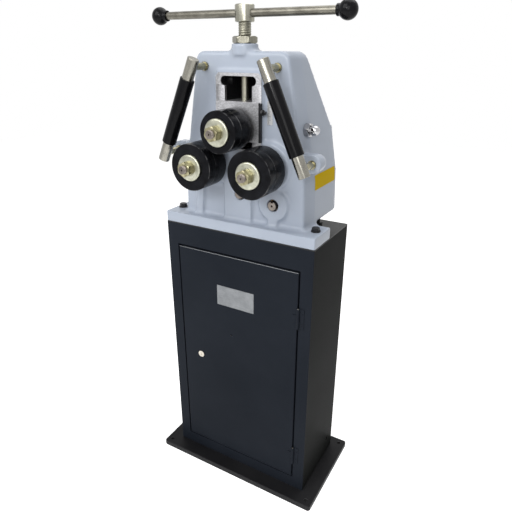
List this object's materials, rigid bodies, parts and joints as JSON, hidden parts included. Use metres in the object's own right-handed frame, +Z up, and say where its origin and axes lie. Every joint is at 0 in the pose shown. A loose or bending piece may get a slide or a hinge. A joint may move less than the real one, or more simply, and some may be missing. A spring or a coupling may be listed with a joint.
{
  "type": "ring roller",
  "caption": "Manual ring and section bending machine: a cast housing with overhung rollers and a tee-bar pressure screw on a steel cabinet stand.",
  "frame": {"origin": "centre of the four floor bolt holes, on the underside of the floor plate", "axes": "+Z up along the cabinet, front of the machine (rollers and door) towards -Y, right grip and door hinges towards +X"},
  "size_m": [0.5375, 0.361, 1.3383],
  "materials": {
    "casting_paint": "glossy light blue-grey machine paint",
    "cabinet_paint": "dark anthracite powder coat, fine texture",
    "floor_plate_paint": "near-black paint",
    "blackened_steel": "black oxide on turned steel",
    "zinc_steel": "yellow passivated zinc",
    "milled_steel": "milled bare steel",
    "turned_steel": "turned bare steel, lightly oiled",
    "nickel_steel": "satin nickel plate",
    "bearing_bronze": "turned bearing bronze",
    "grip_plastic": "glossy black plastic tube",
    "ball_plastic": "polished black phenolic",
    "plate_aluminium": "satin aluminium sheet"
  },
  "bodies": {
    "frame": {"base_plate": "floor_plate_paint", "cabinet_wrap": "cabinet_paint", "cabinet_front": "cabinet_paint", "cabinet_top": "cabinet_paint", "machine_casting": "casting_paint", "rear_cover": "casting_paint", "rear_cover_screws": "blackened_steel", "front_bushes": "bearing_bronze", "rear_bushes": "bearing_bronze", "screw_bush": "turned_steel", "gib_strip": "blackened_steel", "gib_screw": "blackened_steel", "clamp_screw": "nickel_steel", "scale_plate": "plate_aluminium", "flange_bolts": "blackened_steel", "levelling_studs": "blackened_steel", "left_grip_bar": "nickel_steel", "right_grip_bar": "nickel_steel", "left_grip_sleeve": "grip_plastic", "right_grip_sleeve": "grip_plastic", "grip_studs": "nickel_steel", "hinge_frame_leaves": "cabinet_paint", "hinge_pins": "turned_steel"},
    "door": {"door_panel": "cabinet_paint", "hinge_door_leaves": "cabinet_paint", "name_plate": "plate_aluminium", "lock_housing": "nickel_steel"},
    "lock": {"lock_rotor": "nickel_steel", "lock_cam": "turned_steel"},
    "slide": {"slide_block": "milled_steel", "slide_keeper": "milled_steel", "slide_bushes": "bearing_bronze", "screw_keeper": "milled_steel"},
    "spindle": {"spindle_screw": "turned_steel", "spindle_hub": "turned_steel", "tee_bar": "turned_steel", "ball_knobs": "ball_plastic"},
    "upper_roller": {"upper_shaft": "turned_steel", "upper_front_disc": "blackened_steel", "upper_rear_disc": "blackened_steel", "upper_washer": "zinc_steel", "upper_nut": "zinc_steel", "upper_ring": "turned_steel"},
    "left_roller": {"left_shaft": "turned_steel", "left_front_disc": "blackened_steel", "left_rear_disc": "blackened_steel", "left_washer": "zinc_steel", "left_nut": "zinc_steel", "left_gear": "milled_steel", "left_keys": "turned_steel"},
    "right_roller": {"right_shaft": "turned_steel", "right_front_disc": "blackened_steel", "right_rear_disc": "blackened_steel", "right_washer": "zinc_steel", "right_nut": "zinc_steel", "right_gear": "milled_steel", "right_keys": "turned_steel"},
    "idler": {"idler_shaft": "turned_steel", "idler_gear": "milled_steel"},
    "pinion": {"pinion_shaft": "turned_steel"}
  },
  "joints": [
    {"name": "door_hinge", "type": "hinge", "parent": "frame", "child": "door", "pos_m": [0.19, -0.111, 0.3715], "axis": [0, 0, 1], "range_deg": [0, 110]},
    {"name": "lock_turn", "type": "hinge", "parent": "door", "child": "lock", "pos_m": [-0.126, -0.1, 0.388], "axis": [0, 1, 0], "range_deg": [0, 90]},
    {"name": "slide_travel", "type": "slide", "parent": "frame", "child": "slide", "axis": [0, 0, 1], "range_m": [-0.015, 0.05]},
    {"name": "spindle_spin", "type": "hinge", "parent": "slide", "child": "spindle", "pos_m": [0, -0.05, 1.2], "axis": [0, 0, 1], "range_deg": [-1080, 3600]},
    {"name": "upper_roller_spin", "type": "hinge", "parent": "slide", "child": "upper_roller", "pos_m": [0, -0.1, 1.0665], "axis": [0, 1, 0], "continuous": true},
    {"name": "left_roller_spin", "type": "hinge", "parent": "frame", "child": "left_roller", "pos_m": [-0.082, -0.1, 0.977], "axis": [0, 1, 0], "continuous": true},
    {"name": "right_roller_spin", "type": "hinge", "parent": "frame", "child": "right_roller", "pos_m": [0.082, -0.1, 0.977], "axis": [0, 1, 0], "continuous": true},
    {"name": "idler_spin", "type": "hinge", "parent": "frame", "child": "idler", "pos_m": [0, 0, 0.89998], "axis": [0, 1, 0], "continuous": true},
    {"name": "pinion_spin", "type": "hinge", "parent": "frame", "child": "pinion", "pos_m": [0.096, 0, 0.88354], "axis": [0, 1, 0], "continuous": true}
  ],
  "couplings": [
    {"joint": "slide_travel", "follows": "spindle_spin", "m_per_rad": 0.0007957},
    {"joint": "left_roller_spin", "follows": "right_roller_spin", "ratio": 1},
    {"joint": "idler_spin", "follows": "right_roller_spin", "ratio": -1.5},
    {"joint": "pinion_spin", "follows": "right_roller_spin", "ratio": -2.5}
  ]
}
